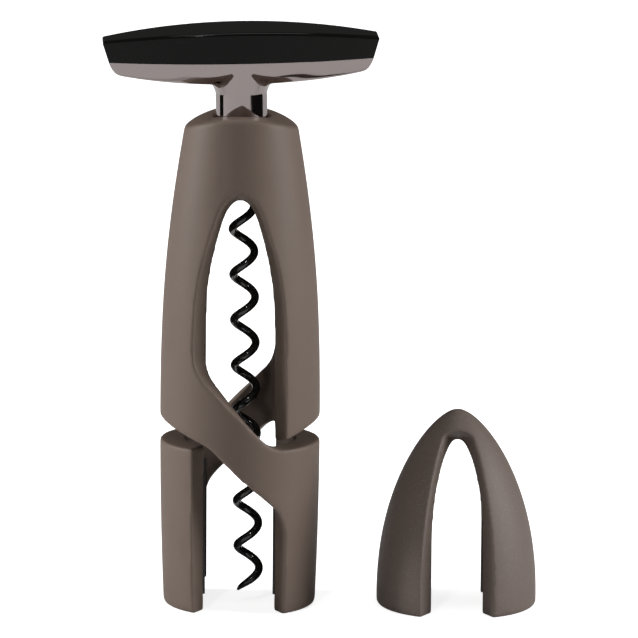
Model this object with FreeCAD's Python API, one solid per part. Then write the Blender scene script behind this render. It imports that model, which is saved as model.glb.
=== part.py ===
"""Self-pulling frame corkscrew with its foil cutter.

A T-handle drives a right-handed worm through a bush in the top of a
bell-shaped frame. Two slanting ribbons are cut out of the frame, which
leaves two upper legs, two lower legs and the two diagonal bands that join
them. The foil cutter stands beside it.

Origin: the worm's axis at the surface that the frame stands on.
+Z is up, +X is to the handle's right hand end, and -Y is the front.
Millimetres and degrees.
"""
import FreeCAD, Part
import math
import os
from FreeCAD import Vector

os.makedirs("parts", exist_ok=True)

UP = Vector(0, 0, 1)
ORIGIN = Vector(0, 0, 0)

# ---- frame: outside form ----
base_radius = 22.0
belly_radius = 23.1
belly_height = 50.0
waist_radius = 21.5
waist_height = 101.0
shoulder_radius = 16.7
frame_height = 143.7
shoulder_drop = 6.2
shoulder_slope = 0.17
roof_arch_radius = 35.6
roof_edge_radius = 1.0
base_edge_radius = 1.4

# ---- frame: inside form ----
bottle_bore_radius = 15.5
bottle_stop_height = 54.5
bottle_stop_step = 0.5
bore_taper_start = 88.0
cavity_top_radius = 11.6
web_thickness = 6.0
neck_bore_radius = 7.875
neck_recess_depth = 12.7

# ---- frame: cut ribbons ----
window_half_width = 13.5
window_apex = 122.7
window_shoulder = 92.0
window_arch_drop = 8.5
ledge_height = 48.6
notch_side_height = 55.4
notch_slant = 23.0
band_top_left_height = 77.5
band_slope_top = (-6.2, 64.6)
band_slope_foot = (5.2, 53.4)
band_under_slope_top = (-7.4, 48.0)
band_under_slope_foot = (7.6, 34.0)
band_under_foot_height = 22.0
flare_width_rate = 0.70
window_flare_rate = 0.11
doorway_flare_rate = 0.48

# ---- guide bush, ring, thrust washer ----
bush_radius = 6.3
bush_flange_clearance = 0.15
bush_flange_thickness = 1.5
bush_tail = 6.0
ring_radius = 8.4
ring_thickness = 1.6
ring_groove_depth = 0.5
washer_thickness = 1.5
washer_radius = 7.3
washer_sleeve_radius = 6.0
washer_sleeve_height = 4.0
washer_sleeve_end_gap = 0.3
running_clearance = 0.07
bush_slack = 0.55

# ---- spindle: the worm and handle lean by the slack in the bush ----
spindle_lean = 1.1
lean_pivot_height = 145.0
lean_seat_gap = 0.03

# ---- worm ----
worm_outer_radius = 4.3
worm_wire_radius = 1.2
worm_pitch = 13.3
worm_tip_height = 3.6
worm_phase_height = 10.0
worm_point_turn = 70.0
worm_point_radius = 0.2
hub_radius = 4.3
hub_length = 18.0
hub_socket_depth = 11.8
stud_radius = 2.5
stud_end_gap = 0.3

# ---- handle ----
handle_turn = 2.8
neck_radius = 7.4
neck_length = 18.3
neck_flare_radius = 3.0
casting_mid_depth = 6.85
casting_end_depth = 3.7
cover_height = 9.1
cover_crown = 2.55
handle_split_half_length = 37.9
handle_foot_half_length = 36.8
handle_mid_half_depth = 12.4
handle_end_half_depth = 4.8
handle_foot_half_depth_loss = 0.5
handle_foot_edge_radius = 2.0
cover_edge_radius = 0.8
cover_plug_depth = 1.6
cover_wall = 2.4
cover_plug_clearance = 0.1
pocket_depth = 6.3
pocket_radius = 6.6
boss_radius = 2.0
boss_reach = 26.0
boss_depth = 2.0
boss_end_gap = 0.2
nut_across_flats = 8.0
nut_height = 3.2
nut_washer_radius = 5.0
nut_washer_thickness = 0.8

# ---- neck guide pads in the lower legs ----
pad_recess = 0.7
pad_proud = 0.4
pad_bottom = 4.8
pad_top = 40.0

# ---- foil cutter ----
cutter_offset = 63.0
cutter_radius = 23.1
cutter_height = 57.55
cutter_swell = 1.05
cutter_swell_height = 36.5
cutter_nose_width = 6.6
cutter_base_edge = 0.8
crown_wall = 9.0
cavity_straight_height = 20.0
cavity_swell_height = 36.0
cavity_nose_width = 8.0
slot_half_angle = 27.4
slot_crown_slope = 0.50
slot_spring_height = 18.0
slot_half_width = 12.5

# ---- foil cutter: wheels, pins and carriers ----
wheel_height = 8.0
wheel_radius = 3.2
wheel_thickness = 0.7
wheel_edge_thickness = 0.12
wheel_knife_depth = 0.8
wheel_reach_inside = 1.7
wheel_spread = 23.0
wheel_hub_radius = 1.9
wheel_hub_thickness = 1.6
wheel_clearance = 0.4
wheel_side_clearance = 0.2
pin_radius = 1.0
pin_end_wall = 0.6
carrier_wall = 2.2
carrier_setback = 0.2
carrier_height = 7.2
carrier_half_angle = 44.0


def polar(radius, angle, height=0.0):
    """Point at this radius and height, angle in degrees from +X."""
    turn = math.radians(angle)
    return Vector(radius * math.cos(turn), radius * math.sin(turn), height)


def line(start, end):
    return Part.LineSegment(start, end).toShape()


def lines_through(corners):
    """Straight edges through these (x, z) corners."""
    points = [Vector(x, 0, z) for x, z in corners]
    return [line(a, b) for a, b in zip(points, points[1:])]


def curve(points, start_slope, end_slope):
    """Smooth curve through the points, with its end directions."""
    spline = Part.BSplineCurve()
    spline.interpolate(Points=points, InitialTangent=start_slope, FinalTangent=end_slope)
    return spline.toShape()


def revolve(edges):
    """Solid of revolution about Z of a closed outline in the XZ plane."""
    return Part.Face(Part.Wire(edges)).revolve(ORIGIN, UP, 360)


def cylinder(radius, bottom, top, centre=ORIGIN):
    """Upright cylinder between two heights."""
    return Part.makeCylinder(radius, top - bottom, centre + Vector(0, 0, bottom))


def tube(inner, outer, bottom, top):
    """Plain ring about Z between two heights."""
    return cylinder(outer, bottom, top).cut(cylinder(inner, bottom - 1, top + 1))


def sector(half_angle, reach, bottom, top, facing=0.0):
    """Upright wedge about Z, centred on the angle that it faces."""
    points = [ORIGIN, polar(reach, -half_angle), polar(reach, 0), polar(reach, half_angle), ORIGIN]
    wedge = Part.Face(Part.makePolygon(points)).extrude(Vector(0, 0, top - bottom))
    wedge.translate(Vector(0, 0, bottom))
    wedge.rotate(ORIGIN, UP, facing)
    return wedge


def half_turn(shape):
    """The same shape turned half a turn about Z."""
    turned = shape.copy()
    turned.rotate(ORIGIN, UP, 180)
    return turned


def shoulder_height():
    """Height where the bell's wall turns straight, under the roof."""
    return frame_height - shoulder_drop


def web_top():
    """Floor of the neck's recess, where the bush's flange sits."""
    return frame_height - neck_recess_depth


def cavity_top():
    return web_top() - web_thickness


def sky():
    """What lies over the frame's roof, an arch that runs straight from front to back."""
    reach = 2 * shoulder_radius
    corner = Vector(-reach, -reach, shoulder_height())
    above = Part.makeBox(2 * reach, 2 * reach, frame_height, corner)
    start = Vector(0, -2 * reach, frame_height - roof_arch_radius)
    drum = Part.makeCylinder(roof_arch_radius, 4 * reach, start, Vector(0, 1, 0))
    return above.cut(drum)


def bell():
    """The frame before its ribbons are cut: outside form, bore and top.

    A step in the bore stops the bottle's neck.
    """
    stopped_radius = bottle_bore_radius - bottle_stop_step
    foot_corner = base_radius - base_edge_radius
    round_mid = base_radius - base_edge_radius * (1 - math.sqrt(0.5))
    foot_arc = Part.Arc(
        Vector(foot_corner, 0, 0),
        Vector(round_mid, 0, base_edge_radius * (1 - math.sqrt(0.5))),
        Vector(base_radius, 0, base_edge_radius),
    ).toShape()
    side = curve(
        [
            Vector(base_radius, 0, base_edge_radius),
            Vector(belly_radius, 0, belly_height),
            Vector(waist_radius, 0, waist_height),
            Vector(shoulder_radius, 0, shoulder_height()),
        ],
        Vector(0.045, 0, 1),
        Vector(-shoulder_slope, 0, 1),
    )
    above = frame_height + 1
    wall_top_radius = shoulder_radius - shoulder_slope * (above - shoulder_height())
    taper = curve(
        [
            Vector(stopped_radius, 0, bore_taper_start),
            Vector(cavity_top_radius, 0, cavity_top()),
        ],
        Vector(0, 0, 1),
        Vector(-0.25, 0, 1),
    )
    rim = lines_through([
        (shoulder_radius, shoulder_height()),
        (wall_top_radius, above),
        (neck_bore_radius, above),
        (neck_bore_radius, web_top()),
        (bush_radius, web_top()),
        (bush_radius, cavity_top()),
        (cavity_top_radius, cavity_top()),
    ])
    bore = lines_through([
        (stopped_radius, bore_taper_start),
        (stopped_radius, bottle_stop_height),
        (bottle_bore_radius, bottle_stop_height),
        (bottle_bore_radius, 0),
        (foot_corner, 0),
    ])
    blank = revolve([foot_arc, side] + rim + [taper] + bore).cut(sky())
    wide = neck_bore_radius + roof_edge_radius
    crease = edges_near(blank, lambda box: box.ZMin > shoulder_height() and box.XLength > wide)
    return blank.makeFillet(roof_edge_radius, crease)


def edge_angle():
    """Angle from the front to the legs' cut faces, which point at the axis."""
    return math.degrees(math.asin(window_half_width / belly_radius))


def edge_depth():
    """How far in front of the axis the legs' outer cut edges lie."""
    return belly_radius * math.cos(math.radians(edge_angle()))


def width_ratio(depth_ratio):
    """How the width shrinks towards the axis, from 1 at the outer edges."""
    return 1 + flare_width_rate * (depth_ratio - 1)


class HeightFlare:
    """How heights shrink towards one level, on the way in to the axis."""

    def __init__(self, rate, centre):
        self.rate = rate
        self.centre = centre

    def ratio(self, depth_ratio):
        return 1 + self.rate * (depth_ratio - 1)

    def on_edge_plane(self, x, z):
        """Carry a point of the outer surface along the flare to the edges' plane."""
        depth_ratio = math.sqrt(belly_radius**2 - x**2) / edge_depth()
        height = self.centre + (z - self.centre) / self.ratio(depth_ratio)
        return Vector(x / width_ratio(depth_ratio), 0, height)


def window_flare():
    return HeightFlare(window_flare_rate, ledge_height)


def doorway_flare():
    return HeightFlare(doorway_flare_rate, leg_bottom(window_half_width))


def flared_tool(outline, flare):
    """Tool that flares outwards along -Y, in front of the axis.

    The outline holds edges in x and z in the plane of the legs' outer cut
    edges. Towards the axis x shrinks evenly with the depth, and z shrinks a
    little towards the flare's centre.
    """
    wires = []
    for depth_ratio in (0.2, 1.6):
        shrink = flare.ratio(depth_ratio)
        scale = FreeCAD.Matrix()
        scale.A11 = width_ratio(depth_ratio)
        scale.A33 = shrink
        scale.A24 = -depth_ratio * edge_depth()
        scale.A34 = flare.centre * (1 - shrink)
        wires.append(outline.transformGeometry(scale))
    return Part.makeLoft(wires, True, True)


def window_outline():
    """Upper front window: pointed top, and the band's upper edge below."""
    arch_points = [
        Vector(window_half_width, 0, band_top_left_height),
        Vector(0.96 * window_half_width, 0, window_shoulder),
        Vector(0.52 * window_half_width, 0, window_apex - window_arch_drop),
        Vector(0, 0, window_apex),
    ]
    right = curve(arch_points, Vector(0, 0, 1), Vector(-1, 0, 0.25))
    left = right.mirror(ORIGIN, Vector(1, 0, 0))
    slope_top = window_flare().on_edge_plane(*band_slope_top)
    slope_foot = window_flare().on_edge_plane(*band_slope_foot)
    slope = slope_foot - slope_top
    slope.normalize()
    upper_left = Vector(-window_half_width, 0, band_top_left_height)
    upper_right = Vector(window_half_width, 0, band_top_left_height)
    ledge = Vector(window_half_width, 0, ledge_height)
    bend = curve([upper_left, slope_top], Vector(0, 0, -1), slope)
    foot = curve([slope_foot, ledge], slope, Vector(1, 0, 0))
    edges = [left, right, line(upper_right, ledge), foot, line(slope_foot, slope_top), bend]
    return Part.Wire(Part.__sortEdges__(edges))


def leg_bottom(x):
    """Height of the upper legs' slanting bottom face at this distance in x."""
    return notch_side_height - (belly_radius - x) * math.tan(math.radians(notch_slant))


def doorway_outline():
    """Lower front opening: the band's lower edge on top, open at the foot."""
    slope_top = doorway_flare().on_edge_plane(*band_under_slope_top)
    slope_foot = doorway_flare().on_edge_plane(*band_under_slope_foot)
    slope = slope_foot - slope_top
    slope.normalize()
    across = math.tan(math.radians(edge_angle()))
    start_slope = Vector(1 + flare_width_rate * across**2, 0, -math.tan(math.radians(notch_slant)))
    below = -2 * base_radius
    upper_left = Vector(-window_half_width, 0, leg_bottom(window_half_width))
    upper_right = Vector(window_half_width, 0, band_under_foot_height)
    lower_left = Vector(-window_half_width, 0, below)
    lower_right = Vector(window_half_width, 0, below)
    edges = [
        line(lower_left, upper_left),
        curve([upper_left, slope_top], start_slope, slope),
        line(slope_top, slope_foot),
        curve([slope_foot, upper_right], slope, Vector(0, 0, -1)),
        line(upper_right, lower_right),
        line(lower_right, lower_left),
    ]
    return Part.Wire(Part.__sortEdges__(edges))


def notch_tool():
    """Side notch on +X: a level ledge below, and the slanting leg above."""
    reach = 2 * belly_radius
    root = belly_radius - (notch_side_height - ledge_height) / math.tan(math.radians(notch_slant))
    section = lines_through([
        (root, ledge_height),
        (reach, ledge_height),
        (reach, leg_bottom(reach)),
        (root, ledge_height),
    ])
    prism = Part.Face(Part.Wire(section)).extrude(Vector(0, 2 * reach, 0))
    prism.translate(Vector(0, -reach, 0))
    wedge = sector(90 - edge_angle() + 1, 2 * reach, ledge_height - 1, leg_bottom(reach) + 1)
    return prism.common(wedge)


def bore_edge_angle():
    """Angle from the front to the legs' inner cut edges, at the bore."""
    slant = flare_width_rate * window_half_width / edge_depth()
    offset = (1 - flare_width_rate) * window_half_width
    turn = math.atan(slant) + math.asin(offset / (bottle_bore_radius * math.hypot(1, slant)))
    return math.degrees(turn)


def pad_sector():
    """The upright wedge that a leg's guide pad fills, on +X."""
    return sector(90 - bore_edge_angle(), 2 * belly_radius, pad_bottom, pad_top)


def pad_radius():
    return bottle_bore_radius + pad_recess


def frame_shell():
    """Bell with both ribbons, and the recesses for the guide pads."""
    shell = bell()
    window = flared_tool(window_outline(), window_flare())
    doorway = half_turn(flared_tool(doorway_outline(), doorway_flare()))
    pad_recess_tool = cylinder(pad_radius(), pad_bottom, pad_top).common(pad_sector())
    for tool in (window, notch_tool(), doorway, pad_recess_tool):
        shell = shell.cut(tool)
        shell = shell.cut(half_turn(tool))
    return shell


def neck_guide_pad():
    """Curved grip pad on the inside of the right lower leg."""
    return tube(bottle_bore_radius - pad_proud, pad_radius(), pad_bottom, pad_top).common(pad_sector())


def bush_bore_radius():
    return worm_outer_radius + bush_slack


def flange_top():
    return web_top() + bush_flange_thickness


def washer_seat():
    """Lowest height of the washer's underside on the spindle's own axis."""
    return flange_top() + washer_radius * math.tan(math.radians(spindle_lean)) + lean_seat_gap


def lean(shape):
    """Lean a spindle piece about the middle of the bush."""
    shape.rotate(Vector(0, 0, lean_pivot_height), Vector(0, -1, 0), spindle_lean)
    return shape


def bush_bottom():
    return cavity_top() - bush_tail


def ring_bottom():
    return cavity_top() - ring_thickness


def worm_guide_bush():
    """Flanged bush that the worm slides and turns in."""
    flange = cylinder(neck_bore_radius - bush_flange_clearance, web_top(), flange_top())
    body = cylinder(bush_radius, bush_bottom(), flange_top())
    groove = tube(bush_radius - ring_groove_depth, bush_radius + 1, ring_bottom(), cavity_top())
    bore = cylinder(bush_bore_radius(), bush_bottom() - 1, flange_top() + 1)
    return flange.fuse(body).cut(groove).cut(bore)


def bush_retaining_ring():
    """Split spring ring in the bush's groove, under the frame's web."""
    whole = tube(bush_radius - ring_groove_depth, ring_radius, ring_bottom(), cavity_top())
    gap = sector(12, 2 * ring_radius, bush_bottom(), cavity_top() + 1, 90)
    return whole.cut(gap)


def neck_foot():
    return washer_seat() + washer_thickness


def thrust_washer():
    """Plain washer with a sleeve that turns in the neck's mouth."""
    sleeve_top = neck_foot() + washer_sleeve_height
    disc = cylinder(washer_radius, washer_seat(), neck_foot())
    sleeve = cylinder(washer_sleeve_radius, washer_seat(), sleeve_top)
    bore = cylinder(hub_radius + running_clearance, washer_seat() - 1, sleeve_top + 1)
    return disc.fuse(sleeve).cut(bore)


def foot_mid_height():
    """Lowest height of the handle's boat-shaped underside."""
    return neck_foot() + neck_length


def split_height():
    """Height where the cover sits on the casting."""
    return foot_mid_height() + casting_mid_depth


def foot_end_height():
    return split_height() - casting_end_depth


def handle_top():
    return split_height() + cover_height


def hub_top():
    return neck_foot() + hub_socket_depth


def hub_bottom():
    return hub_top() - hub_length


def pocket_floor():
    return split_height() - pocket_depth


def lens(half_length, mid_half_depth, end_half_depth, height):
    """Closed lens outline: two long bowed sides and two straight ends."""
    corners = {}
    for side in (-1, 1):
        for end in (-1, 1):
            corners[side, end] = Vector(end * half_length, side * end_half_depth, height)
    edges = []
    for side in (-1, 1):
        crest = Vector(0, side * mid_half_depth, height)
        edges.append(Part.Arc(corners[side, -1], crest, corners[side, 1]).toShape())
    for end in (-1, 1):
        edges.append(line(corners[-1, end], corners[1, end]))
    return Part.Wire(Part.__sortEdges__(edges))


def lens_block(bottom, top):
    """Block with a lens plan between two heights of the handle.

    The half length grows evenly with the height, from the foot of the ends
    through the split line, and the depth grows by the same slant's share.
    """
    slant = (handle_split_half_length - handle_foot_half_length) / casting_end_depth
    depth_slant = handle_foot_half_depth_loss / casting_end_depth
    wires = []
    for height in (bottom, top):
        rise = height - split_height()
        wires.append(
            lens(
                handle_split_half_length + slant * rise,
                handle_mid_half_depth + depth_slant * rise,
                handle_end_half_depth + depth_slant * rise,
                height,
            )
        )
    return Part.makeLoft(wires, True, True)


def lens_recess(inset, bottom, top):
    """Straight lens recess, inset from the handle's outline at the split."""
    outline = lens(
        handle_split_half_length - inset,
        handle_mid_half_depth - inset,
        handle_end_half_depth - 0.75 * inset,
        bottom,
    )
    return Part.Face(outline).extrude(Vector(0, 0, top - bottom))


def edges_near(shape, test):
    """Edges of the shape whose bounding box passes the test."""
    return [edge for edge in shape.Edges if test(edge.BoundBox)]


def both_ends(make):
    """The same piece at both of the handle's boss places, as one shape."""
    left, right = [make(Vector(side * boss_reach, 0, 0)) for side in (-1, 1)]
    return left.fuse(right)


def recess_floor():
    return split_height() - cover_plug_depth - cover_plug_clearance


def handle_casting():
    """Boat-shaped head and round neck in one casting."""
    head = lens_block(foot_mid_height() - 2, split_height())
    length = 1.2 * handle_foot_half_length
    sag = foot_end_height() - foot_mid_height()
    drop = sag * (length / handle_foot_half_length) ** 2
    hull = Part.Arc(
        Vector(-length, 0, foot_mid_height() + drop),
        Vector(0, 0, foot_mid_height()),
        Vector(length, 0, foot_mid_height() + drop),
    ).toShape()
    above = handle_top() + 5
    corners = [
        Vector(length, 0, foot_mid_height() + drop),
        Vector(length, 0, above),
        Vector(-length, 0, above),
        Vector(-length, 0, foot_mid_height() + drop),
    ]
    sides = [line(a, b) for a, b in zip(corners, corners[1:])]
    keep = Part.Face(Part.Wire([hull] + sides)).extrude(Vector(0, 4 * handle_mid_half_depth, 0))
    keep.translate(Vector(0, -2 * handle_mid_half_depth, 0))
    head = head.common(keep)
    highest_foot = foot_end_height() + 1
    head = head.makeFillet(handle_foot_edge_radius, edges_near(head, lambda box: box.ZMax < highest_foot))
    neck = cylinder(neck_radius, neck_foot(), foot_mid_height() + 2)
    whole = head.fuse(neck)
    joint = edges_near(
        whole,
        lambda box: abs(box.XLength - 2 * neck_radius) < 0.1 and box.ZMin > foot_mid_height() - 0.5,
    )
    whole = whole.makeFillet(neck_flare_radius, joint)
    mouth_top = neck_foot() + washer_sleeve_height + washer_sleeve_end_gap
    hollows = [
        cylinder(washer_sleeve_radius + running_clearance, neck_foot() - 1, mouth_top),
        cylinder(hub_radius, neck_foot() - 1, hub_top()),
        cylinder(stud_radius, hub_top() - 1, pocket_floor() + 1),
        cylinder(pocket_radius, pocket_floor(), split_height() + 1),
        lens_recess(cover_wall, recess_floor(), split_height() + 1),
        both_ends(lambda at: cylinder(boss_radius, recess_floor() - boss_depth, split_height(), at)),
    ]
    for hollow in hollows:
        whole = whole.cut(hollow)
    return whole


def handle_cover():
    """Cover with a crowned top, and a plug with two bosses under it."""
    cover = lens_block(split_height(), handle_top() + 1)
    crown_radius = (handle_split_half_length**2 + cover_crown**2) / (2 * cover_crown)
    start = Vector(0, -2 * handle_mid_half_depth, handle_top() - crown_radius)
    drum = Part.makeCylinder(crown_radius, 4 * handle_mid_half_depth, start, Vector(0, 1, 0))
    cover = cover.common(drum)
    lowest_rim = split_height() + 3
    cover = cover.makeFillet(cover_edge_radius, edges_near(cover, lambda box: box.ZMin > lowest_rim))
    plug_inset = cover_wall + cover_plug_clearance
    plug = lens_recess(plug_inset, split_height() - cover_plug_depth, split_height())
    bosses = both_ends(
        lambda at: cylinder(boss_radius, recess_floor() - boss_depth + boss_end_gap, split_height(), at)
    )
    return cover.fuse(plug).fuse(bosses).removeSplitter()


def worm_hub():
    """Head that the worm is brazed to, with the stud that holds it."""
    stud_top = split_height() - cover_plug_depth - stud_end_gap
    return cylinder(hub_radius, hub_bottom(), hub_top()).fuse(cylinder(stud_radius, hub_top(), stud_top))


def hub_washer():
    """Washer between the pocket's floor and the nut."""
    return tube(stud_radius, nut_washer_radius, pocket_floor(), pocket_floor() + nut_washer_thickness)


def hub_nut():
    """Hexagon nut on the hub's stud."""
    bottom = pocket_floor() + nut_washer_thickness
    corner_radius = nut_across_flats / math.sqrt(3)
    corners = [polar(corner_radius, 60 * step, bottom) for step in range(7)]
    blank = Part.Face(Part.makePolygon(corners)).extrude(Vector(0, 0, nut_height))
    return blank.cut(cylinder(stud_radius, bottom - 1, bottom + nut_height + 1))


def worm_line_radius():
    return worm_outer_radius - worm_wire_radius


def worm_point(angle):
    """Centre line of the worm at this angle about Z, counted up the turns."""
    return polar(worm_line_radius(), angle, worm_phase_height + worm_pitch * angle / 360)


def worm_section(angle, radius):
    """Round section of the wire, square to its centre line."""
    radians = math.radians(angle)
    run = worm_pitch / (2 * math.pi)
    along = Vector(-worm_line_radius() * math.sin(radians), worm_line_radius() * math.cos(radians), run)
    return Part.Wire(Part.makeCircle(radius, worm_point(angle), along))


def worm():
    """Right-handed wire helix with a tapered point, cut flat at the hub."""
    tip_angle = (worm_tip_height - worm_phase_height) * 360 / worm_pitch
    start_angle = tip_angle + worm_point_turn
    start_height = worm_point(start_angle).z
    path = Part.makeLongHelix(worm_pitch, hub_bottom() + worm_pitch / 2 - start_height, worm_line_radius(), 0)
    path.rotate(ORIGIN, UP, start_angle)
    path.translate(Vector(0, 0, start_height))
    wire = Part.Wire(path.Edges).makePipeShell([worm_section(start_angle, worm_wire_radius)], True, True)
    steps = 4
    sections = []
    for step in range(steps + 1):
        share = step / steps
        radius = worm_point_radius + (worm_wire_radius - worm_point_radius) * math.sin(share * math.pi / 2)
        sections.append(worm_section(tip_angle + share * worm_point_turn, radius))
    point = Part.makeLoft(sections, True, False)
    spare = cylinder(2 * worm_outer_radius, hub_bottom(), hub_bottom() + 2 * worm_pitch)
    return wire.cut(spare).fuse(point)


def bullet(foot, swell, nose_width, height, base_edge=0.0):
    """Round-nosed solid of revolution that stands on z = 0.

    Its wall is upright up to the foot, then one curve leaves towards the
    swell and comes in flat over the nose. Foot and swell are (x, z).
    """
    radius, foot_height = foot
    wall = Part.BezierCurve()
    wall.setPoles([
        Vector(radius, 0, foot_height),
        Vector(swell[0], 0, swell[1]),
        Vector(nose_width, 0, height),
        Vector(0, 0, height),
    ])
    base = [(0, height), (0, 0), (radius - base_edge, 0)]
    if base_edge:
        base.append((radius, base_edge))
    if foot_height > base_edge:
        base.append((radius, foot_height))
    return revolve([wall.toShape()] + lines_through(base))


def wheel_axis_radius():
    return bottle_bore_radius - wheel_reach_inside + wheel_radius


def carrier_radius():
    return cutter_radius - carrier_wall


def wheel_places():
    """Angles of the four wheels about the foil cutter's axis."""
    return [facing + side * wheel_spread for facing in (0, 180) for side in (-1, 1)]


def carrier_bottom():
    return wheel_height - carrier_height / 2


def carrier_top():
    return wheel_height + carrier_height / 2


def wheel_carrier(facing):
    """Curved carrier in one leg, slotted for two wheels."""
    blank = tube(bottle_bore_radius + carrier_setback, carrier_radius(), carrier_bottom(), carrier_top())
    blank = blank.common(sector(carrier_half_angle, 2 * cutter_radius, 0, 2 * carrier_top(), facing))
    half_slot = wheel_hub_thickness / 2 + wheel_side_clearance
    for angle in wheel_places():
        centre = polar(wheel_axis_radius(), angle)
        low, high = wheel_height - half_slot, wheel_height + half_slot
        blank = blank.cut(cylinder(wheel_radius + wheel_clearance, low, high, centre))
        blank = blank.cut(cylinder(pin_radius, pin_bottom(), pin_top(), centre))
    return blank


def pin_bottom():
    return carrier_bottom() + pin_end_wall


def pin_top():
    return carrier_top() - pin_end_wall


def cutting_wheel():
    """Steel disc with a knife edge and a hub, on the Z axis."""
    half_disc = wheel_thickness / 2
    half_edge = wheel_edge_thickness / 2
    half_hub = wheel_hub_thickness / 2
    bore = pin_radius + running_clearance
    knife_root = wheel_radius - wheel_knife_depth
    outline = [
        (bore, -half_hub),
        (wheel_hub_radius, -half_hub),
        (wheel_hub_radius, -half_disc),
        (knife_root, -half_disc),
        (wheel_radius, -half_edge),
        (wheel_radius, half_edge),
        (knife_root, half_disc),
        (wheel_hub_radius, half_disc),
        (wheel_hub_radius, half_hub),
        (bore, half_hub),
        (bore, -half_hub),
    ]
    points = [Vector(radius, 0, wheel_height + height) for radius, height in outline]
    return Part.Face(Part.makePolygon(points)).revolve(ORIGIN, UP, 360)


def foil_cutter_shell():
    """Hollow bullet with a slot through front and back, and its pockets."""
    cavity_height = cutter_height - crown_wall
    shell = bullet(
        (cutter_radius, cutter_base_edge),
        (cutter_radius + cutter_swell, cutter_swell_height),
        cutter_nose_width,
        cutter_height,
        cutter_base_edge,
    )
    cavity = bullet(
        (bottle_bore_radius, cavity_straight_height),
        (bottle_bore_radius, cavity_swell_height),
        cavity_nose_width,
        cavity_height,
    )
    shell = shell.cut(cavity)
    wires = []
    for depth in (1.0, 1.1 * cutter_radius):
        crown = cavity_height + slot_crown_slope * depth
        ellipse = Part.Ellipse(
            Vector(0, depth, crown),
            Vector(slot_half_width, depth, slot_spring_height),
            Vector(0, depth, slot_spring_height),
        )
        wires.append(Part.Wire(ellipse.toShape()))
    arch = Part.makeLoft(wires, True, True)
    below = slot_spring_height
    door = Part.makeBox(
        2 * slot_half_width,
        2 * cutter_radius,
        2 * below,
        Vector(-slot_half_width, 0, -below),
    )
    slot = arch.fuse(door).common(sector(slot_half_angle, 3 * cutter_radius, -below, 2 * cutter_height, 90))
    shell = shell.cut(slot).cut(half_turn(slot))
    for facing in (0, 180):
        pocket = cylinder(carrier_radius(), carrier_bottom(), carrier_top())
        wedge = sector(carrier_half_angle, 2 * cutter_radius, 0, 2 * carrier_top(), facing)
        shell = shell.cut(pocket.common(wedge))
    return shell


def handle_pieces():
    pieces = {
        "handle_casting": handle_casting(),
        "handle_cover": handle_cover(),
        "worm_hub": worm_hub(),
        "hub_washer": hub_washer(),
        "hub_nut": hub_nut(),
        "worm": worm(),
    }
    for name in ("handle_casting", "handle_cover"):
        pieces[name].rotate(ORIGIN, UP, handle_turn)
    return {name: lean(piece) for name, piece in pieces.items()}


def frame_pieces():
    pad = neck_guide_pad()
    return {
        "frame_shell": frame_shell(),
        "neck_guide_pad_right": pad,
        "neck_guide_pad_left": half_turn(pad),
        "worm_guide_bush": worm_guide_bush(),
        "bush_retaining_ring": bush_retaining_ring(),
        "thrust_washer": lean(thrust_washer()),
    }


def foil_cutter_pieces():
    pieces = {
        "foil_cutter_shell": foil_cutter_shell(),
        "wheel_carrier_right": wheel_carrier(0),
        "wheel_carrier_left": wheel_carrier(180),
    }
    for number, angle in enumerate(wheel_places(), start=1):
        centre = polar(wheel_axis_radius(), angle)
        wheel = cutting_wheel()
        wheel.translate(centre)
        pieces[f"cutting_wheel_{number}"] = wheel
        pieces[f"wheel_pin_{number}"] = cylinder(pin_radius, pin_bottom(), pin_top(), centre)
    for piece in pieces.values():
        piece.translate(Vector(cutter_offset, 0, 0))
    return pieces


for group in (frame_pieces(), handle_pieces(), foil_cutter_pieces()):
    for name, shape in group.items():
        box = shape.BoundBox
        print(f"{name:24s} solids {len(shape.Solids)} volume {shape.Volume:9.1f} valid {shape.isValid()}"
              f" z {box.ZMin:.1f} to {box.ZMax:.1f}")
        shape.exportStep(f"parts/{name}.step")
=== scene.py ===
"""Looks of the self-pulling corkscrew and its foil cutter.

The frame and the foil cutter get rounded edges, the worm a ground point, and
the handle's casting a hull that flows into its round neck. The other pieces
are the solids themselves, in their finishes. The object's lengths are in
millimetres, and the stage's in metres. +Z is up, and -Y is the front.
"""
import math

import bmesh
import bpy
import numpy as np
from mathutils import Matrix, Vector


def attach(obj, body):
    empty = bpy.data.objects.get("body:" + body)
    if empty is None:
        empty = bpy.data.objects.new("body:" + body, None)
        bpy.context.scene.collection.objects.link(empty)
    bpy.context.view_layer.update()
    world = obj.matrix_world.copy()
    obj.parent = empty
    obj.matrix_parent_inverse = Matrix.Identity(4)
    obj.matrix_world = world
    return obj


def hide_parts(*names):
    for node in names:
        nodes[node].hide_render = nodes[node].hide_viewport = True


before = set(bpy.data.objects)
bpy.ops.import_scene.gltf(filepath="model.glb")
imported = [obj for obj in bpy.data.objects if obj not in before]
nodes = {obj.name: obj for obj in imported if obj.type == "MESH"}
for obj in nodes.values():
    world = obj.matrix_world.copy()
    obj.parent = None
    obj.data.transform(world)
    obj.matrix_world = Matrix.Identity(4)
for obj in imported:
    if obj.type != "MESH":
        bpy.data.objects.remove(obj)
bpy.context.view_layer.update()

mm = 0.001

# ---- the spindle leans by the slack in its bush ----
spindle_lean = math.radians(1.1)
lean_pivot = 145.0

# ---- worm: its sizes, then how finely it is laid out ----
worm_outer_radius = 4.3
worm_wire_radius = 1.2
worm_pitch = 13.3
worm_tip_height = 3.6
worm_phase_height = 10.0
worm_end_height = 127.6
worm_point_length = 9.0
worm_point_radius = 0.28
worm_point_power = 0.8
worm_nose_length = 0.35
worm_nose_start = 0.02
worm_skin_inset = 0.01
worm_rings = 1400
worm_sides = 20

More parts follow.
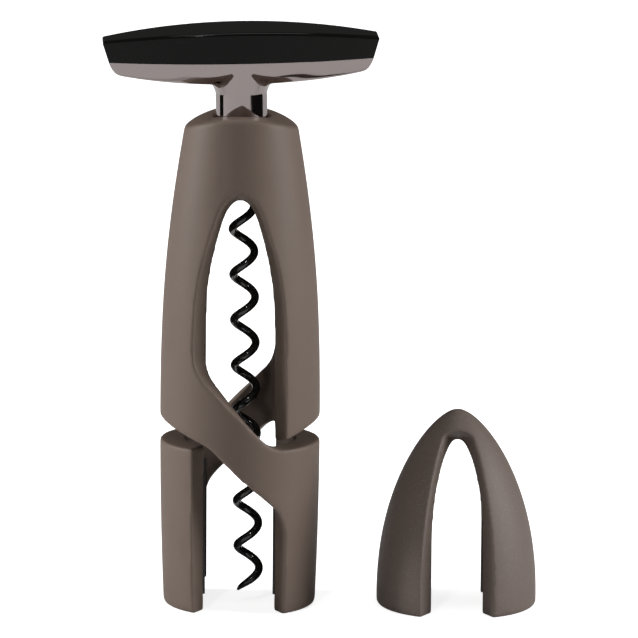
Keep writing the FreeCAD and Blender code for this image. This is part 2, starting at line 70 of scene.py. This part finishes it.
# ---- casting of the handle: its sizes, then how finely it is laid out ----
handle_turn = math.radians(2.8)
split_height = 159.32
neck_foot_height = 134.17
lens_half_length = 37.9
lens_mid_half_depth = 12.4
lens_end_half_depth = 4.8
hull_mid_depth = 6.85
hull_end_depth = 3.51
hull_side_power = 2.3
hull_end_power = 45.0
hull_power_growth = 8
hull_taper = 0.0085
hull_taper_power = 6
neck_radius = 7.4
neck_flare = 3.0
throat_half_depth = 9.3
throat_drop = 9.4
throat_slope = 3.05
throat_blend = 0.1
mouth_radius = 6.07
mouth_depth = 4.3
socket_radius = 4.32
socket_depth = 11.8
crease_angle = math.radians(38)
rim_end_steps = 12
rim_side_steps = 78
flare_steps = 13
hull_steps = 80

# ---- points nearer than this are one point; metres ----
merge_gap = 2e-7


# ---- shapes ----

def turned(u, v, angle):
    """Coordinates u and v turned by an angle, from u towards v."""
    c, s = math.cos(angle), math.sin(angle)
    return c * u - s * v, s * u + c * v


def lean(points):
    """Points in mm turned about -Y by the lean, about the pivot on the axis."""
    x, z = turned(points[..., 0], points[..., 2] - lean_pivot, spindle_lean)
    return np.stack([x, points[..., 1], z + lean_pivot], -1)


def place_object(name, data):
    """New object in the scene, at the origin."""
    placed = bpy.data.objects.new(name, data)
    bpy.context.scene.collection.objects.link(placed)
    return placed


def merge_points(mesh, outwards):
    """Merge points that coincide, and turn a closed mesh outwards if asked."""
    work = bmesh.new()
    work.from_mesh(mesh)
    bmesh.ops.remove_doubles(work, verts=work.verts, dist=merge_gap)
    if outwards:
        bmesh.ops.recalc_face_normals(work, faces=work.faces)
    work.to_mesh(mesh)
    work.free()


def skin_from_rings(name, rings):
    """Closed, smooth-shaded piece from a stack of rings of points in mm.

    Four-sided faces join each ring to the next, point by point, and one
    many-sided face closes the first ring and one the last.
    """
    rows, columns = rings.shape[:2]
    row, column = np.meshgrid(np.arange(rows - 1), np.arange(columns), indexing="ij")
    here = row * columns + column
    beside = row * columns + (column + 1) % columns
    quads = np.stack([here, beside, beside + columns, here + columns], -1).reshape(-1, 4)
    caps = [list(range(columns)), list(range((rows - 1) * columns, rows * columns))]
    mesh = bpy.data.meshes.new(name)
    mesh.from_pydata((rings.reshape(-1, 3) * mm).tolist(), [], quads.tolist() + caps)
    mesh.update()
    merge_points(mesh, outwards=True)
    mesh.shade_smooth()
    return place_object(name, mesh)


def tube_along(centre, radius, sides):
    """Rings of a round tube carried along a path about the Z axis.

    Each ring is square to the path's direction T: centre + radius (cos a N +
    sin a B), where N points away from the Z axis and B = T x N.
    """
    along = np.gradient(centre, axis=0)
    along /= np.linalg.norm(along, axis=1, keepdims=True)
    out = centre * [1, 1, 0]
    out -= along * (out * along).sum(1, keepdims=True)
    out /= np.linalg.norm(out, axis=1, keepdims=True)
    side = np.cross(along, out)
    a = np.linspace(0, 2 * math.pi, sides, endpoint=False)
    ring = np.cos(a)[None, :, None] * out[:, None] + np.sin(a)[None, :, None] * side[:, None]
    return centre[:, None] + radius[:, None, None] * ring


def worm_skin():
    """Right-handed wire helix with a ground point.

    Height z runs evenly from the tip to the hub, and the angle grows by one
    turn per pitch. Over the point's length along the wire the radius grows
    with the first quarter of a sine wave, to a power just under 1. Over the
    nose it is cut by the square root of the way from the tip, which rounds
    the very end.
    """
    z = np.linspace(worm_tip_height, worm_end_height, worm_rings)
    angle = 2 * math.pi * (z - worm_phase_height) / worm_pitch
    line_radius = worm_outer_radius - worm_wire_radius
    centre = np.stack([line_radius * np.cos(angle), line_radius * np.sin(angle), z], -1)
    run = (z - worm_tip_height) * math.hypot(2 * math.pi * line_radius, worm_pitch) / worm_pitch
    ramp = np.clip(run / worm_point_length, 0, 1)
    growth = (worm_wire_radius - worm_skin_inset) - worm_point_radius
    radius = worm_point_radius + growth * np.sin(ramp * math.pi / 2) ** worm_point_power
    radius *= np.sqrt(np.clip(run / worm_nose_length, worm_nose_start, 1))
    return skin_from_rings("worm_skin", lean(tube_along(centre, radius, worm_sides)))


def lens_rim():
    """Plan of the handle as (x, y): straight ends and sides bowed to an arc.

    The arc has half chord c and rise s, so its radius is (c^2 + s^2) / 2s.
    One quarter is laid out from the end to the middle, then mirrored.
    """
    rise = lens_mid_half_depth - lens_end_half_depth
    radius = (lens_half_length**2 + rise**2) / (2 * rise)
    bow = np.linspace(math.asin(lens_half_length / radius), 0, rim_side_steps + 1)
    end = np.linspace(0, lens_end_half_depth, rim_end_steps + 1)[:-1]
    x = np.concatenate([np.full(rim_end_steps, lens_half_length), radius * np.sin(bow)])
    y = np.concatenate([end, lens_mid_half_depth - radius * (1 - np.cos(bow))])
    quarter = np.stack([x, y], -1)
    back = quarter[::-1]
    return np.concatenate([
        quarter[:-1], back[:-1] * [-1, 1], quarter[:-1] * [-1, -1], back[:-1] * [1, -1],
    ])


def neck_foot(circle):
    """Rings of the neck's hollow foot, from the socket's roof out to the neck.

    Each ring is the unit circle times a radius, at a rise above the foot.
    """
    profile = [
        (socket_radius, socket_depth), (socket_radius, mouth_depth), (mouth_radius, mouth_depth),
        (mouth_radius, 0.0), (neck_radius, 0.0),
    ]
    return np.stack([
        np.concatenate([radius * circle, np.full((len(circle), 1), neck_foot_height + rise)], -1)
        for radius, rise in profile
    ])


def casting_skin():
    """Boat-shaped hull that flows into a round neck, with its hollow foot.

    Each column runs along a straight line in plan from the neck to the rim,
    and u is the share of the way from the axis. The depth under the rim is
    D (1 - u^n)^(1/2). D falls with the square of the distance from the
    middle, and the power n is low at the sides, for a round hull, and high
    at the ends, for a square one. A quarter circle joins hull and neck. The
    top of the neck is an ellipse, and a steep slope, the throat, carries its
    front and back up to the rim. Hull and throat meet in a smooth maximum of
    their depths. Near the rim the plan draws in as the hull goes down.
    """
    rim = lens_rim()
    turn = np.linspace(0, 2 * math.pi, len(rim), endpoint=False)
    circle = np.stack([np.cos(turn), np.sin(turn)], -1)
    neck = circle * [neck_radius, throat_half_depth]
    reach = np.linalg.norm(rim - neck, axis=1)
    start = np.linalg.norm(neck, axis=1) / np.linalg.norm(rim, axis=1)
    joint = start + (1 - start) * neck_flare / reach
    endness = np.abs(rim[:, 0] / lens_half_length) ** hull_power_growth
    power = hull_side_power + (hull_end_power - hull_side_power) * endness

    flare = np.linspace(0, math.pi / 2, flare_steps + 1)[:, None]
    u_low = start + (1 - start) * neck_flare * (1 - np.cos(flare)) / reach
    away = np.linspace(0, 1, hull_steps + 1)[1:, None]
    u_high = joint + (1 - joint) * (1 - (1 - away) ** 2)
    u = np.concatenate([u_low, u_high])
    drop = np.concatenate([neck_flare * (1 - np.sin(flare)), 0 * away])

    share = ((u - start) / (1 - start))[..., None]
    plan = neck + (rim - neck) * share
    depth = hull_mid_depth - (hull_mid_depth - hull_end_depth) * (plan[..., 0] / lens_half_length) ** 2
    below = depth * np.sqrt(np.clip(1 - u**power, 0, 1))
    throat = throat_drop - throat_slope * reach * share[..., 0]
    lowered = below + drop
    lowered = 0.5 * (lowered + throat + np.sqrt((lowered - throat) ** 2 + throat_blend * below))
    plan *= (1 - hull_taper * below * u**hull_taper_power)[..., None]
    hull = np.concatenate([plan, (split_height - lowered)[..., None]], -1)

    rings = np.concatenate([neck_foot(circle), hull])
    rings[..., 0], rings[..., 1] = turned(rings[..., 0], rings[..., 1], handle_turn)
    piece = skin_from_rings("casting_skin", lean(rings))
    piece.data.set_sharp_from_angle(angle=crease_angle)
    return piece


def rounded_copy(name, node, voxel, rounds, share):
    """Copy of a node with its edges rounded.

    The copy is merged and cut into voxels, then each point moves half way to
    the mean of its neighbours again and again, which rounds the edges and
    leaves wide faces where they are. Last the mesh is thinned to a share of
    its faces, most where it is flat.
    """
    source = place_object(name + "_work", nodes[node].data.copy())
    merge_points(source.data, outwards=False)
    remesh = source.modifiers.new("voxels", "REMESH")
    remesh.mode = "VOXEL"
    remesh.voxel_size = voxel * mm
    smooth = source.modifiers.new("rounding", "SMOOTH")
    smooth.factor = 0.5
    smooth.iterations = rounds
    thin = source.modifiers.new("thinning", "DECIMATE")
    thin.ratio = share
    graph = bpy.context.evaluated_depsgraph_get()
    mesh = bpy.data.meshes.new_from_object(source.evaluated_get(graph))
    bpy.data.objects.remove(source)
    mesh.name = name
    mesh.materials.clear()
    mesh.shade_smooth()
    return place_object(name, mesh)


# ---- steps that several materials use ----

def number_ramp(tree, start, end, low, high, easing="LINEAR"):
    """Map Range node that takes start to end over to low to high."""
    ramp = tree.nodes.new("ShaderNodeMapRange")
    ramp.interpolation_type = easing
    for label, value in (("From Min", start), ("From Max", end), ("To Min", low), ("To Max", high)):
        ramp.inputs[label].default_value = value
    return ramp


def number_step(tree, operation):
    """Math node that does one operation."""
    step = tree.nodes.new("ShaderNodeMath")
    step.operation = operation
    return step


def colour_mix(tree, **colours):
    """Mix node for colours, with its inputs A and B set where they are given."""
    mix = tree.nodes.new("ShaderNodeMix")
    mix.data_type = "RGBA"
    for label, colour in colours.items():
        mix.inputs[label].default_value = (*colour, 1)
    return mix


# ---- shared effects ----

def new_group(name, inputs, outputs):
    """Empty shader group with number inputs, as (label, start), and outputs."""
    group = bpy.data.node_groups.new(name, "ShaderNodeTree")
    for label, start in inputs:
        socket = group.interface.new_socket(label, in_out="INPUT", socket_type="NodeSocketFloat")
        socket.default_value = start
    for label in outputs:
        group.interface.new_socket(label, in_out="OUTPUT", socket_type="NodeSocketFloat")
    return group, group.nodes.new("NodeGroupInput"), group.nodes.new("NodeGroupOutput")


def fine_grain():
    """Fine grain over a slow mottling, both noises in object space.

    Fleck is 1 in small scattered spots, where the fine noise is high. Height
    is the fine noise, to bump with. Cloud is the slow one, for tone and
    gloss.
    """
    group, source, sink = new_group(
        "fine_grain", [("Grain Scale", 3000.0), ("Cloud Scale", 60.0)], ["Fleck", "Height", "Cloud"],
    )
    new, link = group.nodes.new, group.links.new
    place = new("ShaderNodeTexCoord")
    grain = new("ShaderNodeTexNoise")
    grain.inputs["Detail"].default_value = 2.0
    cloud = new("ShaderNodeTexNoise")
    cloud.inputs["Detail"].default_value = 3.0
    fleck = number_ramp(group, start=0.56, end=0.72, low=0.0, high=1.0)
    link(place.outputs["Object"], grain.inputs["Vector"])
    link(place.outputs["Object"], cloud.inputs["Vector"])
    link(source.outputs["Grain Scale"], grain.inputs["Scale"])
    link(source.outputs["Cloud Scale"], cloud.inputs["Scale"])
    link(grain.outputs["Fac"], fleck.inputs["Value"])
    link(fleck.outputs["Result"], sink.inputs["Fleck"])
    link(grain.outputs["Fac"], sink.inputs["Height"])
    link(cloud.outputs["Fac"], sink.inputs["Cloud"])
    return group


grain_group = fine_grain()
coat_roughness = 0.03


def finish_material(name, dark, light, fleck, roughness, grain_scale, bump, cloud_scale=60.0, metallic=0.0,
                    coat=0.0, fleck_share=0.3, specular=0.5):
    """Finish made of a mottled colour with flecks, its gloss and its grain.

    Colour runs from dark to light with the mottling, then towards the fleck
    colour in the flecks. Roughness runs between its two values likewise.
    Bump is the grain's strength and its height in mm, or None.
    """
    material = bpy.data.materials.new(name)
    material.use_nodes = True
    tree = material.node_tree
    link = tree.links.new
    shader = tree.nodes["Principled BSDF"]
    shader.inputs["Metallic"].default_value = metallic
    shader.inputs["Coat Weight"].default_value = coat
    shader.inputs["Coat Roughness"].default_value = coat_roughness
    shader.inputs["Specular IOR Level"].default_value = specular
    grain = tree.nodes.new("ShaderNodeGroup")
    grain.node_tree = grain_group
    grain.inputs["Grain Scale"].default_value = grain_scale
    grain.inputs["Cloud Scale"].default_value = cloud_scale
    mottle = colour_mix(tree, A=dark, B=light)
    link(grain.outputs["Cloud"], mottle.inputs["Factor"])
    share = number_step(tree, "MULTIPLY")
    share.inputs[1].default_value = fleck_share
    link(grain.outputs["Fleck"], share.inputs[0])
    spots = colour_mix(tree, B=fleck)
    link(share.outputs["Value"], spots.inputs["Factor"])
    link(mottle.outputs["Result"], spots.inputs["A"])
    link(spots.outputs["Result"], shader.inputs["Base Color"])
    gloss = number_ramp(tree, 0.0, 1.0, *roughness)
    link(grain.outputs["Cloud"], gloss.inputs["Value"])
    link(gloss.outputs["Result"], shader.inputs["Roughness"])
    if bump:
        relief = tree.nodes.new("ShaderNodeBump")
        relief.inputs["Strength"].default_value = bump[0]
        relief.inputs["Distance"].default_value = bump[1] * mm
        link(grain.outputs["Height"], relief.inputs["Height"])
        link(relief.outputs["Normal"], shader.inputs["Normal"])
    return material


# ---- finishes ----

soft_touch = finish_material(
    "soft_touch_taupe",
    dark=(0.145, 0.107, 0.086), light=(0.168, 0.125, 0.101), fleck=(0.24, 0.19, 0.165), fleck_share=0.12,
    roughness=(0.52, 0.62), grain_scale=2600.0, bump=(0.3, 0.05), specular=0.35,
)
cutter_soft_touch = finish_material(
    "soft_touch_taupe_cutter",
    dark=(0.145, 0.112, 0.096), light=(0.168, 0.131, 0.112), fleck=(0.28, 0.245, 0.225), fleck_share=0.3,
    roughness=(0.50, 0.60), grain_scale=2000.0, bump=(0.5, 0.07), specular=0.35,
)
chrome = finish_material(
    "chrome_plate",
    dark=(0.40, 0.35, 0.34), light=(0.43, 0.375, 0.365), fleck=(0.37, 0.325, 0.315), fleck_share=0.1,
    roughness=(0.05, 0.09), grain_scale=5000.0, bump=None, cloud_scale=30.0, metallic=1.0,
)
gloss_black = finish_material(
    "gloss_black",
    dark=(0.0045, 0.0045, 0.0042), light=(0.0062, 0.006, 0.0056), fleck=(0.012, 0.012, 0.012),
    fleck_share=0.15, roughness=(0.06, 0.12), grain_scale=1800.0, bump=(0.02, 0.01), cloud_scale=40.0,
    specular=0.16,
)
worm_coating = finish_material(
    "worm_coating",
    dark=(0.008, 0.008, 0.008), light=(0.014, 0.0135, 0.013), fleck=(0.09, 0.085, 0.08), fleck_share=0.4,
    roughness=(0.07, 0.16), grain_scale=2600.0, bump=(0.45, 0.05), cloud_scale=300.0, coat=0.5,
)
nylon = finish_material(
    "bush_nylon",
    dark=(0.014, 0.013, 0.013), light=(0.022, 0.021, 0.020), fleck=(0.04, 0.04, 0.04),
    roughness=(0.40, 0.52), grain_scale=2600.0, bump=(0.2, 0.03), cloud_scale=90.0,
)
rubber = finish_material(
    "pad_rubber",
    dark=(0.035, 0.031, 0.029), light=(0.05, 0.045, 0.042), fleck=(0.08, 0.075, 0.07),
    roughness=(0.6, 0.75), grain_scale=2400.0, bump=(0.3, 0.05), cloud_scale=80.0,
)
steel = finish_material(
    "bright_steel",
    dark=(0.52, 0.52, 0.52), light=(0.62, 0.62, 0.62), fleck=(0.42, 0.42, 0.42),
    roughness=(0.2, 0.32), grain_scale=2800.0, bump=(0.12, 0.02), cloud_scale=140.0, metallic=1.0,
)


def wear(piece, material):
    """Give the whole piece one finish."""
    piece.data.materials.clear()
    piece.data.materials.append(material)


# ---- pieces ----

frame_body = rounded_copy("frame_body", "frame_shell", voxel=0.45, rounds=16, share=0.42)
wear(frame_body, soft_touch)
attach(frame_body, "frame")
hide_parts("frame_shell")

cutter_body = rounded_copy("cutter_body", "foil_cutter_shell", voxel=0.4, rounds=18, share=0.5)
wear(cutter_body, cutter_soft_touch)
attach(cutter_body, "foil_cutter")
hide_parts("foil_cutter_shell")

worm = worm_skin()
wear(worm, worm_coating)
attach(worm, "handle")
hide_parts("worm")

casting = casting_skin()
wear(casting, chrome)
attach(casting, "handle")
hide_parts("handle_casting")

node_finishes = {
    "neck_guide_pad_left": rubber,
    "neck_guide_pad_right": rubber,
    "worm_guide_bush": nylon,
    "thrust_washer": nylon,
    "bush_retaining_ring": steel,
    "handle_cover": gloss_black,
    "worm_hub": steel,
    "hub_washer": steel,
    "hub_nut": steel,
    "wheel_carrier_right": nylon,
    "wheel_carrier_left": nylon,
}
for number in range(1, 5):
    node_finishes[f"cutting_wheel_{number}"] = steel
    node_finishes[f"wheel_pin_{number}"] = steel
for node, material in node_finishes.items():
    wear(nodes[node], material)

# ---- floor, and dark cards on it that the chrome mirrors; metres ----
floor_reach = 4.0
card_rise = 0.002
card_steps = 12
card_near, card_far = 0.40, 1.6
glow_near, glow_far = 0.08, 0.30


def card(name, corners, material):
    """Flat piece of the stage, from its corners."""
    mesh = bpy.data.meshes.new(name)
    mesh.from_pydata(corners, [], [list(range(len(corners)))])
    mesh.materials.append(material)
    place_object(name, mesh)


def paper(name, colour, near_glow, far_glow):
    """Matt paper, with a glow that only the camera sees.

    The glow goes from its near to its far strength with the distance from
    the middle of the floor.
    """
    material = bpy.data.materials.new(name)
    material.use_nodes = True
    tree = material.node_tree
    link = tree.links.new
    shader = tree.nodes["Principled BSDF"]
    shader.inputs["Base Color"].default_value = (*colour, 1)
    shader.inputs["Roughness"].default_value = 0.9
    shader.inputs["Specular IOR Level"].default_value = 0.0
    shader.inputs["Emission Color"].default_value = (1, 1, 1, 1)
    rays = tree.nodes.new("ShaderNodeLightPath")
    place = tree.nodes.new("ShaderNodeTexCoord")
    reach = tree.nodes.new("ShaderNodeVectorMath")
    reach.operation = "LENGTH"
    grow = number_ramp(tree, start=glow_near, end=glow_far, low=near_glow, high=far_glow)
    glow = number_step(tree, "MULTIPLY")
    link(place.outputs["Object"], reach.inputs[0])
    link(reach.outputs["Value"], grow.inputs["Value"])
    link(grow.outputs["Result"], glow.inputs[1])
    link(rays.outputs["Is Camera Ray"], glow.inputs[0])
    link(glow.outputs["Value"], shader.inputs["Emission Strength"])
    return material


def ground_sector(name, start, end, material):
    """Card on the floor that fills a sector of a ring.

    Directions are in degrees from the front, positive to the right.
    """
    ring = []
    for reach, turns in ((card_near, (start, end)), (card_far, (end, start))):
        for turn in np.radians(np.linspace(*turns, card_steps)):
            ring.append((reach * math.sin(turn), -reach * math.cos(turn), card_rise))
    card(name, ring, material)


white_paper = paper("white_paper", (0.85, 0.85, 0.85), near_glow=0.84, far_glow=1.0)
black_paper = paper("black_paper", (0.01, 0.01, 0.01), near_glow=0.98, far_glow=1.0)
floor_corners = [(x * floor_reach, y * floor_reach, 0) for x, y in ((-1, -1), (1, -1), (1, 1), (-1, 1))]
card("floor", floor_corners, white_paper)
ground_sector("dark_card_right", 31, 120, black_paper)
ground_sector("dark_card_left", -122, -98, black_paper)

# ---- surroundings: how light the room is, and its tint ----
front_level = 0.07
side_level = 0.11
back_level = 0.03
room_tint = (1.0, 0.97, 0.95)


def backdrop(tree, colour):
    """Background node of one colour."""
    shade = tree.nodes.new("ShaderNodeBackground")
    shade.inputs["Color"].default_value = (*colour, 1)
    return shade


def studio():
    """World that is plain white to the camera and a dim room to the light.

    The room's level is the product of two smooth steps: one from 1 down to
    its share at the back, with Y, and one up from the front's level to the
    sides', with the size of X.
    """
    world = bpy.data.worlds.new("studio")
    world.use_nodes = True
    tree = world.node_tree
    tree.nodes.clear()
    new, link = tree.nodes.new, tree.links.new
    place = new("ShaderNodeTexCoord")
    parts = new("ShaderNodeSeparateXYZ")
    link(place.outputs["Generated"], parts.inputs["Vector"])
    back_share = back_level / front_level
    depth = number_ramp(tree, start=0.0, end=0.6, low=1.0, high=back_share, easing="SMOOTHSTEP")
    link(parts.outputs["Y"], depth.inputs["Value"])
    width = number_step(tree, "ABSOLUTE")
    link(parts.outputs["X"], width.inputs[0])
    side = number_ramp(tree, start=0.3, end=1.0, low=front_level, high=side_level, easing="SMOOTHSTEP")
    link(width.outputs["Value"], side.inputs["Value"])
    level = number_step(tree, "MULTIPLY")
    link(depth.outputs["Result"], level.inputs[0])
    link(side.outputs["Result"], level.inputs[1])
    room = backdrop(tree, room_tint)
    link(level.outputs["Value"], room.inputs["Strength"])
    plain = backdrop(tree, (1, 1, 1))
    rays = new("ShaderNodeLightPath")
    direct = number_step(tree, "MAXIMUM")
    link(rays.outputs["Is Camera Ray"], direct.inputs[0])
    link(rays.outputs["Is Transmission Ray"], direct.inputs[1])
    choose = new("ShaderNodeMixShader")
    link(direct.outputs["Value"], choose.inputs["Fac"])
    link(room.outputs["Background"], choose.inputs[1])
    link(plain.outputs["Background"], choose.inputs[2])
    out = new("ShaderNodeOutputWorld")
    link(choose.outputs["Shader"], out.inputs["Surface"])
    return world


bpy.context.scene.world = studio()

# ---- lamps; metres ----
lamp_aim = Vector((0.02, 0, 0.08))


def softbox(name, turn, lift, reach, size, light):
    """Rectangular area lamp that faces the object.

    It stands in the direction turn degrees from the front, positive to the
    right, and lift degrees up. Light is what a white card facing it gets.
    """
    turn, lift = math.radians(turn), math.radians(lift)
    away = Vector((math.cos(lift) * math.sin(turn), -math.cos(lift) * math.cos(turn), math.sin(lift)))
    lamp = bpy.data.lights.new(name, "AREA")
    lamp.shape = "RECTANGLE"
    lamp.size, lamp.size_y = size
    lamp.energy = light * (math.pi * reach) ** 2
    stand = place_object(name, lamp)
    stand.location = lamp_aim + reach * away
    stand.rotation_euler = away.to_track_quat("Z", "Y").to_euler()


softbox("softbox_left", turn=-93, lift=18, reach=2.4, size=(0.7, 1.1), light=0.82)
softbox("softbox_right", turn=84, lift=18, reach=2.4, size=(1.0, 1.1), light=0.80)
softbox("softbox_top", turn=0, lift=86, reach=1.2, size=(0.7, 0.3), light=0.2)
softbox("spotlight", turn=-14, lift=40, reach=2.4, size=(0.16, 0.16), light=0.10)

# ---- camera ----
camera_place = Vector((25.2, -1930.5, 430.0)) * mm
camera_target = Vector((22.64, 0.0, 83.55)) * mm
camera_roll = math.radians(0.40)
focal_pixels = 6798.0
image_pixels = 638.0
sensor_width = 36.0
near_clip, far_clip = 0.05, 50

forward = (camera_target - camera_place).normalized()
right = forward.cross(Vector((0, 0, 1))).normalized()
up = right.cross(forward)
right, up = (
    math.cos(camera_roll) * right + math.sin(camera_roll) * up,
    -math.sin(camera_roll) * right + math.cos(camera_roll) * up,
)
lens = bpy.data.cameras.new("camera")
lens.sensor_width = sensor_width
lens.lens = sensor_width * focal_pixels / image_pixels
lens.clip_start = near_clip
lens.clip_end = far_clip
camera = place_object("camera", lens)
camera.matrix_world = Matrix((
    (right.x, up.x, -forward.x, camera_place.x),
    (right.y, up.y, -forward.y, camera_place.y),
    (right.z, up.z, -forward.z, camera_place.z),
    (0, 0, 0, 1),
))
bpy.context.scene.camera = camera
bpy.context.scene.view_settings.view_transform = "Standard"
